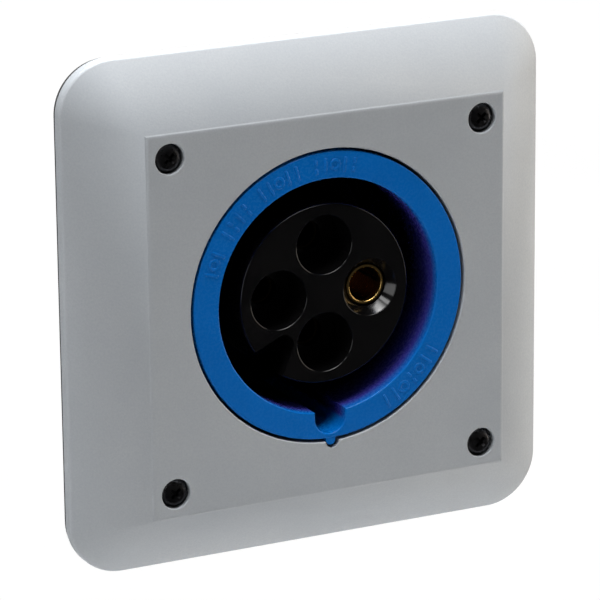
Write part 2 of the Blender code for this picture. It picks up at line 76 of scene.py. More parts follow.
# ---- sizes that a node's box doesn't give ----------------------------------------------
RIM_THICKNESS = 3.2 * MM
PLATE_CORNER = 13 * MM
PLATE_WALL = 3.0 * MM
SEALING_LAND = 4.5 * MM
FACE_WIDTH = 92 * MM
RING_RADIUS = 35 * MM
BORE_RADIUS = 28.5 * MM
HOLE_RADIUS = 35.75 * MM
COLLAR_RADIUS = 39.5 * MM
COLLAR_BACK = 9.3 * MM
FLANGE_FRONT = 8.0 * MM
FLANGE_BACK = 4.5 * MM
FLANGE_SCREW_CIRCLE = 41.5 * MM
FLANGE_BOSS_RADIUS = 3.6 * MM
BARREL_RADIUS = 33 * MM
FLOOR_THICKNESS = 4 * MM
KEYWAY_WIDTH = 8 * MM
KEYWAY_REACH = 33.8 * MM
KEYWAY_RIB_RADIUS = 6.4 * MM
TAB_WIDTH = 2.4 * MM
TAB_REACH = 36.6 * MM
TAB_SLOT_WIDTH = 3.6 * MM
TAB_SLOT_REACH = 37.4 * MM
TAB_SLOT_OFFSET = 0.4 * MM
WELL_RADIUS = 7.15 * MM
WELL_FLOOR_THICKNESS = 2.2 * MM
EARTH_MOUTH_RADIUS = 6.9 * MM
CONTACT_CIRCLE = 11.9 * MM
PHASE_LIP = 3.6 * MM            # radius of the hole in a well's floor
PHASE_CHAMBER = 5.6 * MM
EARTH_LIP = 5.3 * MM
PHASE_RADII = (3.1 * MM, 4.3 * MM)      # a sleeve's bore and outside
EARTH_RADII = (4.1 * MM, 5.0 * MM)
CARRIER_SCREW_CIRCLE = 17 * MM
NOTCH_ANGLE = math.radians(226)
NOTCH_APEX = 15.6 * MM
NOTCH_RADIUS = 2.6 * MM
NOTCH_FLARE = math.radians(21)
NOTCH_DEPTH = 20 * MM
COUNTERBORE_RADIUS = 3.65 * MM
FACE_BOSS_RADIUS = 5.5 * MM
FACE_SHANK_RADIUS = 1.75 * MM
FACE_PITCH = 0.794 * MM
SHANK_CLEARANCE = 0.35 * MM
WASHER_CLEARANCE = 0.3 * MM
SMALL_SCREW_RADIUS = 1.5 * MM
SMALL_HOLE_RADIUS = SMALL_SCREW_RADIUS + 0.3 * MM
SMALL_HEAD_RADIUS = 2.9 * MM
SMALL_PITCH = 0.9 * MM
HEAD_HEIGHT_RATIO = 0.6         # a pan head's height over its radius
SEAL_CLEARANCE = 0.4 * MM
GASKET_INSET = 0.6 * MM
SLEEVE_FOOT_HEIGHT = 4.5 * MM
SLEEVE_SLOT_WIDTH = 0.8 * MM
SPRING_WALL = 0.6 * MM
STUD_RADIUS = 2.5 * MM
STUD_PITCH = 0.5 * MM
STUD_HOLE_RADIUS = 2.8 * MM
WIRE_HOLE_RADIUS = 3.1 * MM
CLAMP_HOLE_RADIUS = 2.3 * MM
CLAMP_TIP_REACH = 4.5 * MM      # from a terminal's axis to its clamp screw's tip
CLAMP_RADIUS = 1.9 * MM
CLAMP_PITCH = 0.7 * MM
CLAMP_HEAD_RADIUS = 3 * MM
CLAMP_HEAD_BOTTOM = 6 * MM      # heights along the clamp screw, from its tip
CLAMP_HEAD_TOP = 8 * MM
PAD_FRONT = -0.3 * MM
PAD_BACK = -1.3 * MM

SOCKET = CARRIER.middle
RIM_FRONT = PLATE.back + RIM_THICKNESS
FACE = PLATE.front
RING_FACE = HOUSING.front
FLOOR_FRONT = HOUSING.back + FLOOR_THICKNESS
DIAGONALS = [math.radians(degrees) for degrees in (45, 135, 225, 315)]

CONTACTS = {"phase_1": math.pi, "phase_2": math.pi / 2, "phase_3": -math.pi / 2, "earth": 0.0}


def ring_point(radius, angle, height=0.0):
    """A point on a circle about the socket's axis."""
    return SOCKET + Vector((radius * math.cos(angle), radius * math.sin(angle), height))


# ---- modelling -------------------------------------------------------------------------
def filleted(profile, steps=5):
    """Round each (radius, height, fillet) corner of a profile with a small arc."""
    points = []
    for index, corner in enumerate(profile):
        here = Vector(corner[:2])
        fillet = corner[2] if len(corner) == 3 else 0.0
        if fillet == 0.0:
            points.append(here)
            continue
        before = (Vector(profile[index - 1][:2]) - here).normalized()
        after = (Vector(profile[(index + 1) % len(profile)][:2]) - here).normalized()
        half_angle = before.angle(after) / 2
        centre = here + (before + after).normalized() * fillet / math.sin(half_angle)
        start = here + before * fillet / math.tan(half_angle) - centre
        end = here + after * fillet / math.tan(half_angle) - centre
        sweep = math.atan2(start.cross(end), start.dot(end))
        for step in range(steps + 1):
            points.append(centre + Matrix.Rotation(sweep * step / steps, 2) @ start)
    return points


def turned(name, profile, segments=96, closed=False, swell=None):
    """A solid of revolution whose profile runs down its outer side.

    swell(angle, height), where given, is added to the radius, so it can cut a thread.
    """
    bm = bmesh.new()
    rows = []
    for point in filleted(profile):
        if point.x < 1e-9:
            rows.append([bm.verts.new((0, 0, point.y))])
            continue
        row = []
        for step in range(segments):
            angle = math.tau * (step + 0.25) / segments
            radius = point.x + (swell(angle, point.y) if swell else 0.0)
            row.append(bm.verts.new((radius * math.cos(angle), radius * math.sin(angle),
                                     point.y)))
        rows.append(row)
    pairs = list(zip(rows, rows[1:]))
    if closed:
        pairs.append((rows[-1], rows[0]))
    for upper, lower in pairs:
        for step in range(segments):
            corners = [upper[step % len(upper)], lower[step % len(lower)],
                       lower[(step + 1) % len(lower)], upper[(step + 1) % len(upper)]]
            unique = list(dict.fromkeys(corners))
            if len(unique) > 2:
                bm.faces.new(unique)
    return from_bmesh(name, bm)


def rod(name, radius, top, bottom, segments=48):
    return turned(name, [(0, top), (radius, top), (radius, bottom), (0, bottom)], segments)


def slab_mesh(width, height, corner, top, bottom, steps=12):
    bm = bmesh.new()
    middle = Matrix.Translation((0, 0, (top + bottom) / 2))
    size = Matrix.Diagonal((width, height, top - bottom, 1))
    bmesh.ops.create_cube(bm, size=1, matrix=middle @ size)
    if corner > 0:
        uprights = [edge for edge in bm.edges
                    if abs(edge.verts[0].co.z - edge.verts[1].co.z) > (top - bottom) / 2]
        bmesh.ops.bevel(bm, geom=uprights, offset=corner, segments=steps, profile=0.5,
                        affect='EDGES')
    return bm


def slab(name, width, height, corner, top, bottom, steps=12):
    return from_bmesh(name, slab_mesh(width, height, corner, top, bottom, steps))


def from_bmesh(name, bm):
    mesh = bpy.data.meshes.new(name)
    bm.to_mesh(mesh)
    bm.free()
    item = bpy.data.objects.new(name, mesh)
    bpy.context.scene.collection.objects.link(item)
    return item


def bevelled_block(name, foot_width, foot_corner, foot_bottom, foot_top, face_width, top):
    """The skin stretched over a rounded square foot and a smaller, sharp square face."""
    bm = slab_mesh(foot_width, foot_width, foot_corner, foot_top, foot_bottom, steps=24)
    bmesh.ops.delete(bm, geom=bm.edges[:] + bm.faces[:], context='EDGES_FACES')
    bmesh.ops.create_grid(bm, x_segments=1, y_segments=1, size=face_width / 2,
                          matrix=Matrix.Translation((0, 0, top)))
    bmesh.ops.delete(bm, geom=bm.edges[:] + bm.faces[:], context='EDGES_FACES')
    bmesh.ops.convex_hull(bm, input=bm.verts[:])
    bmesh.ops.dissolve_limit(bm, angle_limit=0.002, verts=bm.verts[:], edges=bm.edges[:])
    return from_bmesh(name, bm)


def radial_slot(name, width, inner, outer, top, bottom):
    """A round-ended block at six o'clock, from one radius out to another."""
    item = slab(name, width, outer - inner, width * 0.499, top, bottom)
    for vertex in item.data.vertices:
        vertex.co.y -= (inner + outer) / 2
    return item


def place(item, location=(0, 0, 0), direction=OUT, turn=0.0):
    item.location = location
    item.rotation_euler = (OUT.rotation_difference(direction).to_matrix()
                           @ Matrix.Rotation(turn, 3, 'Z')).to_euler()
    return item


def combine(target, other, operation):
    modifier = target.modifiers.new(other.name, 'BOOLEAN')
    modifier.operation = operation
    modifier.solver = 'EXACT'
    modifier.object = other


def cut(target, cutter):
    combine(target, cutter, 'DIFFERENCE')


def join(target, other):
    combine(target, other, 'UNION')


def soften(item, width, angle_degrees=30, segments=3):
    bevel = item.modifiers.new("soft edges", 'BEVEL')
    bevel.width = width
    bevel.segments = segments
    bevel.limit_method = 'ANGLE'
    bevel.angle_limit = math.radians(angle_degrees)


def bake(item):
    """Apply the modifiers in the front view's frame and drop the objects that they use."""
    bpy.context.view_layer.update()
    helpers = [modifier.object for modifier in item.modifiers if modifier.type == 'BOOLEAN']
    depsgraph = bpy.context.evaluated_depsgraph_get()
    mesh = bpy.data.meshes.new_from_object(item.evaluated_get(depsgraph))
    bm = bmesh.new()
    bm.from_mesh(mesh)
    bmesh.ops.remove_doubles(bm, verts=bm.verts[:], dist=0.002 * MM)
    bmesh.ops.dissolve_degenerate(bm, edges=bm.edges[:], dist=0.001 * MM)
    bm.to_mesh(mesh)
    bm.free()
    item.modifiers.clear()
    item.data = mesh
    for helper in helpers:
        bpy.data.objects.remove(helper, do_unlink=True)
    return item


def finish_piece(item, material, body="root", nodes=(), crease_degrees=32):
    """Bake a piece, shade it, turn it into the row's frame and hand it to its body."""
    bake(item)
    item.data.transform(FRONT @ item.matrix_world)
    item.matrix_world = Matrix.Identity(4)
    item.data.materials.clear()
    item.data.materials.append(material)
    item.data.shade_smooth()
    item.data.set_sharp_from_angle(angle=math.radians(crease_degrees))
    weighted = item.modifiers.new("flat faces stay flat", 'WEIGHTED_NORMAL')
    weighted.keep_sharp = True
    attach(item, body)
    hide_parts(*nodes)
    return item


# ---- materials -------------------------------------------------------------------------
def new_shader(name, roughness, metallic=0.0):
    material = bpy.data.materials.new(name)
    material.use_nodes = True
    shader = material.node_tree.nodes["Principled BSDF"]
    shader.inputs["Roughness"].default_value = roughness
    shader.inputs["Metallic"].default_value = metallic
    return material, material.node_tree, shader


def noise(tree, scale, detail=3.0, stretch=(1, 1, 1)):
    """Noise over the piece's own coordinates; scale is in features per metre."""
    place_node = tree.nodes.new("ShaderNodeTexCoord")
    mapping = tree.nodes.new("ShaderNodeMapping")
    mapping.inputs["Scale"].default_value = stretch
    texture = tree.nodes.new("ShaderNodeTexNoise")
    texture.inputs["Scale"].default_value = scale
    texture.inputs["Detail"].default_value = detail
    tree.links.new(place_node.outputs["Object"], mapping.inputs["Vector"])
    tree.links.new(mapping.outputs["Vector"], texture.inputs["Vector"])
    return texture.outputs["Fac"]


def spread(tree, source, low, high, start=0.3, end=0.7):
    """Stretch a noise value over a range."""
    node = tree.nodes.new("ShaderNodeMapRange")
    node.inputs["From Min"].default_value = start
    node.inputs["From Max"].default_value = end
    node.inputs["To Min"].default_value = low
    node.inputs["To Max"].default_value = high
    tree.links.new(source, node.inputs["Value"])
    return node.outputs["Result"]


def blend_colours(tree, factor, first, second):
    node = tree.nodes.new("ShaderNodeMix")
    node.data_type = 'RGBA'
    tree.links.new(factor, node.inputs["Factor"])
    for socket, colour in ((node.inputs[6], first), (node.inputs[7], second)):
        if isinstance(colour, tuple):
            socket.default_value = (*colour, 1.0)
        else:
            tree.links.new(colour, socket)
    return node.outputs[2]


def add_bump(tree, shader, layers):
    """Stack bumps: each layer is (height socket, strength, distance in metres)."""
    normal = None
    for height, strength, distance in layers:
        node = tree.nodes.new("ShaderNodeBump")
        node.inputs["Strength"].default_value = strength
        node.inputs["Distance"].default_value = distance
        tree.links.new(height, node.inputs["Height"])
        if normal:
            tree.links.new(normal, node.inputs["Normal"])
        normal = node.outputs["Normal"]
    tree.links.new(normal, shader.inputs["Normal"])


def grey_plastic():
    """Matte moulded plastic with a fine spark-eroded texture."""
    material, tree, shader = new_shader("grey_plastic_finish", 0.6)
    grain = noise(tree, 2200, 2)
    cloud = noise(tree, 45, 3)
    colour = blend_colours(tree, spread(tree, cloud, 0, 1), (0.262, 0.280, 0.300),
                           (0.282, 0.298, 0.316))
    speckle = blend_colours(tree, spread(tree, grain, 0, 0.35), colour, (0.225, 0.240, 0.258))
    tree.links.new(speckle, shader.inputs["Base Color"])
    tree.links.new(spread(tree, grain, 0.52, 0.68), shader.inputs["Roughness"])
    add_bump(tree, shader, [(grain, 0.35, 0.04 * MM), (noise(tree, 650, 2), 0.2, 0.05 * MM)])
    return material


def bore_shade_mask(tree, depth):
    """Mask for the painted bore shade: 0 at the ring's face, outside the bore and behind its floor,
    1 from a depth on.
    """
    where = tree.nodes.new("ShaderNodeTexCoord")
    axes = tree.nodes.new("ShaderNodeSeparateXYZ")
    tree.links.new(where.outputs["Object"], axes.inputs["Vector"])
    across = tree.nodes.new("ShaderNodeCombineXYZ")
    tree.links.new(axes.outputs["X"], across.inputs["X"])
    tree.links.new(axes.outputs["Z"], across.inputs["Y"])
    from_axis = tree.nodes.new("ShaderNodeVectorMath")
    from_axis.operation = 'DISTANCE'
    from_axis.inputs[1].default_value = SOCKET
    tree.links.new(across.outputs["Vector"], from_axis.inputs[0])
    product = spread(tree, axes.outputs["Y"], 0, 1, -RING_FACE + 0.4 * MM, -RING_FACE + depth)
    for factor in (spread(tree, from_axis.outputs["Value"], 1, 0, BORE_RADIUS + 2.2 * MM,
                          BORE_RADIUS + 3 * MM),
                   spread(tree, axes.outputs["Y"], 1, 0, -FLOOR_FRONT + 1 * MM,
                          -FLOOR_FRONT + 2 * MM)):
        node = tree.nodes.new("ShaderNodeMath")
        node.operation = 'MULTIPLY'
        tree.links.new(product, node.inputs[0])
        tree.links.new(factor, node.inputs[1])
        product = node.outputs["Value"]
    return product


def blue_plastic():
    """Satin coloured nylon, with painted shade that turns it violet, then black, down the bore."""
    material, tree, shader = new_shader("blue_plastic_finish", 0.3)
    cloud = noise(tree, 60, 3)
    face = blend_colours(tree, spread(tree, cloud, 0, 1), (0.0004, 0.084, 0.315),
                         (0.0006, 0.092, 0.340))
    # Painted shade: the blue darkens to violet near the bore's mouth and to black deeper in, where
    # the bore lies in shade.
    painted_violet_shade = blend_colours(tree, bore_shade_mask(tree, 3.2 * MM), face, (0.026, 0.026, 0.200))
    colour = blend_colours(tree, bore_shade_mask(tree, 15 * MM), painted_violet_shade, (0.001, 0.001, 0.010))
    tree.links.new(colour, shader.inputs["Base Color"])
    grain = noise(tree, 1500, 2)
    tree.links.new(spread(tree, grain, 0.22, 0.32), shader.inputs["Roughness"])
    shader.inputs["Specular IOR Level"].default_value = 0.12
    add_bump(tree, shader, [(grain, 0.12, 0.02 * MM), (noise(tree, 260, 2), 0.15, 0.05 * MM)])
    return material


def black_plastic():
    """Glossy thermoset with faint flow marks."""
    material, tree, shader = new_shader("black_plastic_finish", 0.13)
    shader.inputs["Specular IOR Level"].default_value = 0.4
    cloud = noise(tree, 120, 4)
    colour = blend_colours(tree, spread(tree, cloud, 0, 1), (0.0016, 0.0016, 0.0018),
                           (0.003, 0.0028, 0.003))
    tree.links.new(colour, shader.inputs["Base Color"])
    tree.links.new(spread(tree, noise(tree, 700, 3), 0.09, 0.17), shader.inputs["Roughness"])
    add_bump(tree, shader, [(noise(tree, 420, 3), 0.12, 0.03 * MM)])
    return material


def black_rubber():
    material, tree, shader = new_shader("black_rubber_finish", 0.8)
    grain = noise(tree, 1800, 3)
    colour = blend_colours(tree, spread(tree, grain, 0, 1), (0.012, 0.012, 0.012),
                           (0.024, 0.024, 0.025))
    tree.links.new(colour, shader.inputs["Base Color"])
    tree.links.new(spread(tree, grain, 0.7, 0.9), shader.inputs["Roughness"])
    add_bump(tree, shader, [(grain, 0.4, 0.04 * MM)])
    return material


def turned_metal(name, light, dark, roughness, stretch, scratch=0.15):
    """Machined metal: fine tool marks, which stretch can draw out, and a faint tarnish."""
    material, tree, shader = new_shader(name, roughness, 1.0)
    tarnish = noise(tree, 180, 4)
    colour = blend_colours(tree, spread(tree, tarnish, 0, 1), light, dark)
    tree.links.new(colour, shader.inputs["Base Color"])
    marks = noise(tree, 900, 3, stretch)
    tree.links.new(spread(tree, marks, roughness - 0.07, roughness + 0.09),
                   shader.inputs["Roughness"])
    add_bump(tree, shader, [(marks, scratch, 0.02 * MM)])
    return material


FINISHES = {
    "grey_plastic": grey_plastic(),
    "blue_plastic": blue_plastic(),
    "black_plastic": black_plastic(),
    "black_rubber": black_rubber(),
    "brass": turned_metal("brass_finish", (0.83, 0.58, 0.22), (0.70, 0.44, 0.14), 0.24,
                          (0.15, 4, 0.15)),
    # Painted shade: a darkened copy of the brass for the phase sleeves, which sit deep in the
    # wells.
    "shaded_brass": turned_metal("shaded_brass_finish", (0.055, 0.036, 0.016),
                                   (0.030, 0.020, 0.010), 0.34, (0.15, 4, 0.15)),
    "spring_steel": turned_metal("spring_steel_finish", (0.50, 0.50, 0.52),
                                 (0.36, 0.36, 0.38), 0.3, (1, 3, 1)),
    "zinc_steel": turned_metal("zinc_steel_finish", (0.66, 0.66, 0.64), (0.52, 0.53, 0.54),
                               0.36, (1, 1, 1)),
    "black_steel": turned_metal("black_steel_finish", (0.10, 0.10, 0.105),
                                (0.05, 0.05, 0.055), 0.3, (1, 1, 1)),
}


def finish_as(slot, item, body="root", nodes=None, crease_degrees=32):
    """Finish a piece in the record's material slot; it stands for the node of its name."""
    nodes = [item.name.removesuffix("_piece")] if nodes is None else nodes
    return finish_piece(item, FINISHES[slot], body, nodes, crease_degrees)


# ---- cover plate -----------------------------------------------------------------------
def face_screw_spots():
    return [Extent(f"face_screw_{number}").middle for number in range(1, 5)]


def rounded_mouth(radius, easing, surface, steps=6):
    """Cutter outline that leaves a rounded edge where a hole meets a surface."""
    arc = [(radius + easing * (1 - math.sin(turn)), surface - easing * (1 - math.cos(turn)))
           for turn in (math.pi / 2 * step / steps for step in range(steps + 1))]
    top = surface + OVERRUN
    return [(0, top), (radius + easing, top)] + arc


def rounded_hole(name, radius, easing, surface, bottom, segments=96):
    """A cutter that drills a hole and rounds the edge at the surface."""
    profile = rounded_mouth(radius, easing, surface)
    return turned(name, profile + [(radius, bottom), (0, bottom)], segments)


def plate_hollow():
    run = (PLATE.width - FACE_WIDTH) / 2
    slope = math.atan2(FACE - RIM_FRONT, run)
    half_width = PLATE.width / 2 - SEALING_LAND
    foot_top = RIM_FRONT + (SEALING_LAND - PLATE_WALL / math.sin(slope)) * math.tan(slope)
    underside = FACE - PLATE_WALL
    face_half = half_width - (underside - foot_top) / math.tan(slope)
    return bevelled_block("plate hollow", 2 * half_width, PLATE_CORNER - SEALING_LAND,
                          PLATE.back - OVERRUN, foot_top, 2 * face_half, underside)


def build_plate():
    plate = bevelled_block("face_plate_piece", PLATE.width, PLATE_CORNER, PLATE.back,
                           RIM_FRONT, FACE_WIDTH, FACE)
    soften(plate, 0.6 * MM, 18, 4)
    cut(plate, plate_hollow())
    inside_wall = FACE - PLATE_WALL / 2
    join(plate, place(rod("hole collar", COLLAR_RADIUS, inside_wall, COLLAR_BACK, 128), SOCKET))
    for angle in DIAGONALS:
        boss = rod("flange boss", FLANGE_BOSS_RADIUS, inside_wall, COLLAR_BACK)
        join(plate, place(boss, ring_point(FLANGE_SCREW_CIRCLE, angle)))
    for spot in face_screw_spots():
        join(plate, place(rod("face boss", FACE_BOSS_RADIUS, inside_wall, PLATE.back), spot))
    cut(plate, place(rounded_hole("socket hole", HOLE_RADIUS, 0.35 * MM, FACE,
                                  COLLAR_BACK - OVERRUN, 160), SOCKET))
    cut(plate, place(radial_slot("tab slot", TAB_SLOT_WIDTH, HOLE_RADIUS - 4 * MM,
                                 TAB_SLOT_REACH, FACE + OVERRUN, COLLAR_BACK - OVERRUN),
                     SOCKET + Vector((TAB_SLOT_OFFSET, 0, 0))))
    washer = Extent("face_washer_1")
    for spot in face_screw_spots():
        recess = rounded_hole("screw recess", COUNTERBORE_RADIUS, 0.25 * MM, FACE,
                              washer.back - 0.3 * MM, 48)
        cut(plate, place(recess, spot))
        shank = rod("shank hole", FACE_SHANK_RADIUS + SHANK_CLEARANCE, FACE,
                    PLATE.back - OVERRUN, 32)
        cut(plate, place(shank, spot))
    for angle in DIAGONALS:
        pilot = rod("flange pilot", SMALL_HOLE_RADIUS,
                    FACE - PLATE_WALL - 0.5 * MM, COLLAR_BACK - OVERRUN, 32)
        cut(plate, place(pilot, ring_point(FLANGE_SCREW_CIRCLE, angle)))
    finish_as("grey_plastic", plate)


def build_gasket():
    gasket = slab("plate_gasket_piece", GASKET.width, GASKET.height, PLATE_CORNER - GASKET_INSET,
                  GASKET.front, GASKET.back, 24)
    opening = GASKET.width - 2 * (SEALING_LAND + GASKET_INSET)
    cut(gasket, slab("gasket opening", opening, opening, PLATE_CORNER - SEALING_LAND,
                     GASKET.front + OVERRUN, GASKET.back - OVERRUN, 16))
    soften(gasket, 0.2 * MM, 60, 2)
    finish_as("black_rubber", gasket)


# ---- blue housing ----------------------------------------------------------------------
def keyed_outline(growth):
    """The bore's circle run together with its keyway at six o'clock, grown evenly."""
    radius = BORE_RADIUS + growth
    half_width = KEYWAY_WIDTH / 2 + growth
    meeting = math.asin(half_width / radius)
    outline = []
    steps = 156
    for step in range(steps + 1):
        angle = -math.pi / 2 + meeting + (math.tau - 2 * meeting) * step / steps
        outline.append((radius * math.cos(angle), radius * math.sin(angle)))
    end = KEYWAY_WIDTH / 2 - KEYWAY_REACH
    steps = 20
    for step in range(steps + 1):
        angle = math.pi + math.pi * step / steps
        outline.append((half_width * math.cos(angle), end + half_width * math.sin(angle)))
    return outline


def keyed_bore(easing=0.45 * MM, floor_fillet=0.8 * MM, steps=5):
    """The cutter for the bore and its keyway, eased at the mouth and at the floor."""
    turns = [math.pi / 2 * step / steps for step in range(steps + 1)]
    layers = [(easing, RING_FACE + OVERRUN)]
    layers += [(easing * (1 - math.sin(turn)), RING_FACE - easing * (1 - math.cos(turn)))
               for turn in turns]
    layers += [(floor_fillet * (math.cos(turn) - 1),
                FLOOR_FRONT + floor_fillet * (1 - math.sin(turn))) for turn in turns]
    bm = bmesh.new()
    rows = [[bm.verts.new((x, y, height)) for x, y in keyed_outline(growth)]
            for growth, height in layers]
    for upper, lower in zip(rows, rows[1:]):
        for index, corner in enumerate(upper):
            bm.faces.new([corner, lower[index], lower[(index + 1) % len(lower)],
                          upper[(index + 1) % len(upper)]])
    bm.faces.new(rows[0])
    bm.faces.new(rows[-1])
    bmesh.ops.recalc_face_normals(bm, faces=bm.faces[:])
    return from_bmesh("keyed bore", bm)


def build_housing():
    flange_radius = HOUSING.width / 2
    body = turned("socket_housing_piece", [
        (0, RING_FACE), (RING_RADIUS, RING_FACE, 0.45 * MM), (RING_RADIUS, FLANGE_FRONT),
        (flange_radius, FLANGE_FRONT, 0.5 * MM), (flange_radius, FLANGE_BACK, 0.5 * MM),
        (BARREL_RADIUS, FLANGE_BACK), (BARREL_RADIUS, HOUSING.back, 1.0 * MM),
        (0, HOUSING.back)], 160)
    place(body, SOCKET)
    join(body, place(radial_slot("ring tab", TAB_WIDTH, RING_RADIUS - 3 * MM, TAB_REACH,
                                 RING_FACE - 0.1 * MM, FLANGE_FRONT + 2 * MM), SOCKET))
    rib = rod("keyway rib", KEYWAY_RIB_RADIUS, FLANGE_BACK + OVERRUN, HOUSING.back + 0.5 * MM)
    join(body, place(rib, ring_point(KEYWAY_REACH - KEYWAY_WIDTH / 2, -math.pi / 2)))
    cut(body, place(keyed_bore(), SOCKET))
    for angle in CONTACTS.values():
        hole = rod("stud hole", STUD_HOLE_RADIUS, FLOOR_FRONT + OVERRUN, HOUSING.back - OVERRUN, 32)
        cut(body, place(hole, ring_point(CONTACT_CIRCLE, angle)))
    for angle in DIAGONALS:
        hole = rod("flange hole", SMALL_HOLE_RADIUS, FLANGE_FRONT + OVERRUN,
                   FLANGE_BACK - OVERRUN, 32)
        cut(body, place(hole, ring_point(FLANGE_SCREW_CIRCLE, angle)))
    for angle in DIAGONALS[1::2]:
        hole = rod("carrier screw hole", SMALL_HOLE_RADIUS,
                   FLOOR_FRONT + OVERRUN, HOUSING.back - OVERRUN, 32)
        cut(body, place(hole, ring_point(CARRIER_SCREW_CIRCLE, angle)))
    finish_as("blue_plastic", body)


def build_seal():
    inner = RING_RADIUS + SEAL_CLEARANCE
    outer = SEAL.width / 2
    seal = turned("housing_seal_piece", [
        (inner, SEAL.front, 0.15 * MM), (outer, SEAL.front, 0.15 * MM),
        (outer, SEAL.back, 0.15 * MM), (inner, SEAL.back, 0.15 * MM)], 128, closed=True)
    finish_as("black_rubber", place(seal, SOCKET))


# ---- black carrier ---------------------------------------------------------------------
def key_notch():
    """A slot in the carrier's rim that widens towards the outside."""
    bm = bmesh.new()
    outer = CARRIER.width / 2 + 2 * MM
    spread_out = (NOTCH_RADIUS / math.cos(NOTCH_FLARE)
                  + (outer - NOTCH_APEX) * math.tan(NOTCH_FLARE))
    outline = [Vector((outer, -spread_out, 0)), Vector((outer, spread_out, 0))]
    steps = 20
    for step in range(steps + 1):
        angle = math.pi / 2 + NOTCH_FLARE + (math.pi - 2 * NOTCH_FLARE) * step / steps
        outline.append(Vector((NOTCH_APEX + NOTCH_RADIUS * math.cos(angle),
                               NOTCH_RADIUS * math.sin(angle), 0)))
    face = bm.faces.new([bm.verts.new(point) for point in outline])
    raised = bmesh.ops.extrude_face_region(bm, geom=[face])
    top = [item for item in raised["geom"] if isinstance(item, bmesh.types.BMVert)]
    bmesh.ops.translate(bm, verts=top, vec=(0, 0, NOTCH_DEPTH + OVERRUN))
    bmesh.ops.recalc_face_normals(bm, faces=bm.faces[:])
    return from_bmesh("key notch", bm)


def contact_bore(name):
    """One cutter for the cap and the carrier: it steps in the gap between the two."""
    parting = (CAP.back + CARRIER.front) / 2
    if name == "earth":
        lip, chamber, lip_back = EARTH_LIP, EARTH_LIP + 1 * MM, parting
        profile = rounded_mouth(EARTH_MOUTH_RADIUS, 0.3 * MM, CAP.front)
        profile.append((lip, Extent("earth_sleeve").front))
    else:
        lip, chamber = PHASE_LIP, PHASE_CHAMBER
        lip_back = CARRIER.front - WELL_FLOOR_THICKNESS
        profile = rounded_mouth(WELL_RADIUS, 0.35 * MM, CAP.front)
        profile.extend([(WELL_RADIUS, parting), (lip, parting)])
    back = CARRIER.back - OVERRUN
    return turned(f"{name} bore", profile + [(lip, lip_back), (chamber, lip_back),
                                             (chamber, back), (0, back)], 96)


def build_carrier():
    """The cap with the wells in it, and the carrier behind it that holds the sleeves."""
    radius = CAP.width / 2
    cap = turned("contact_cap_piece", [
        (0, CAP.front), (radius, CAP.front, 0.7 * MM), (radius, CAP.back), (0, CAP.back)], 160)
    carrier = turned("contact_carrier_piece", [
        (0, CARRIER.front), (radius, CARRIER.front), (radius, CARRIER.back, 1.2 * MM),
        (0, CARRIER.back)], 160)
    for angle in DIAGONALS[1::2]:
        pilot = rod("carrier pilot", SMALL_HOLE_RADIUS, CARRIER.back + 10 * MM,
                    CARRIER.back - OVERRUN, 32)
        cut(carrier, place(pilot, ring_point(CARRIER_SCREW_CIRCLE, angle)))
    for part in (cap, carrier):
        place(part, SOCKET)
        cut(part, place(key_notch(), SOCKET + OUT * (CAP.front - NOTCH_DEPTH),
                        turn=NOTCH_ANGLE))
        for name, angle in CONTACTS.items():
            cut(part, place(contact_bore(name), ring_point(CONTACT_CIRCLE, angle)))
        finish_as("black_plastic", part)


# ---- contacts and terminals ------------------------------------------------------------
def thread(radius, pitch, top, bottom, depth=0.25 * MM):
    """Profile heights and a swell that cut a screw thread between two heights."""
    count = max(2, round((top - bottom) / pitch * 8))
    points = [(radius, top + (bottom - top) * step / count) for step in range(count + 1)]

    def swell(angle, height):
        if not bottom - 1e-9 <= height <= top + 1e-9:
            return 0.0
        turns = (height / pitch - angle / math.tau) % 1.0
        groove = 1.0 - abs(2 * turns - 1.0)
        fade = min(1.0, (top - height) / pitch, (height - bottom) / pitch)
        return -depth * groove * max(0.0, fade)

    return points, swell


def build_sleeve(name, angle):
    box = Extent(f"{name}_sleeve")
    pin, outer = EARTH_RADII if name == "earth" else PHASE_RADII
    foot = box.width / 2
    foot_top = CARRIER.back + SLEEVE_FOOT_HEIGHT
    points, swell = thread(STUD_RADIUS, STUD_PITCH, HOUSING.back + 1 * MM,
                           box.back + 0.2 * MM, 0.15 * MM)
    sleeve = turned(f"{name}_sleeve_piece", [
        (0, foot_top + 1.5 * MM), (pin, foot_top + 1.5 * MM), (pin, box.front, 0.4 * MM),
        (outer, box.front, 0.45 * MM),
        (outer, foot_top, 0.1 * MM), (foot, foot_top, 0.3 * MM), (foot, CARRIER.back, 0.2 * MM),
        (STUD_RADIUS, CARRIER.back)] + points + [(0, box.back)], 64, swell=swell)
    centre = ring_point(CONTACT_CIRCLE, angle)
    place(sleeve, centre)
    slot_top = box.front - 2.2 * MM
    for turn in (0, math.pi / 2):
        slot = slab("sleeve slot", 3 * outer, SLEEVE_SLOT_WIDTH, 0, slot_top, slot_top - 12 * MM)
        cut(sleeve, place(slot, centre, turn=turn + angle))
    # The phase sleeves take the darkened copy of the brass, painted shade for the deep wells; the
    # earth sleeve keeps the bright brass.
    tone = "brass" if name == "earth" else "shaded_brass"
    finish_piece(sleeve, FINISHES[tone], nodes=[f"{name}_sleeve"])


def build_spring(name, angle):
    box = Extent(f"{name}_spring")
    outer = box.width / 2
    inner = outer - SPRING_WALL
    spring = turned(f"{name}_spring_piece", [
        (inner, box.front, 0.15 * MM), (outer, box.front, 0.25 * MM),
        (outer, box.back, 0.25 * MM), (inner, box.back, 0.15 * MM)], 64, closed=True)
    place(spring, ring_point(CONTACT_CIRCLE, angle))
    split = slab("spring split", 4 * MM, 1.0 * MM, 0, box.front + OVERRUN,
                 box.back - OVERRUN)
    cut(spring, place(split, ring_point(CONTACT_CIRCLE - inner, angle), turn=angle))
    finish_as("spring_steel", spring)


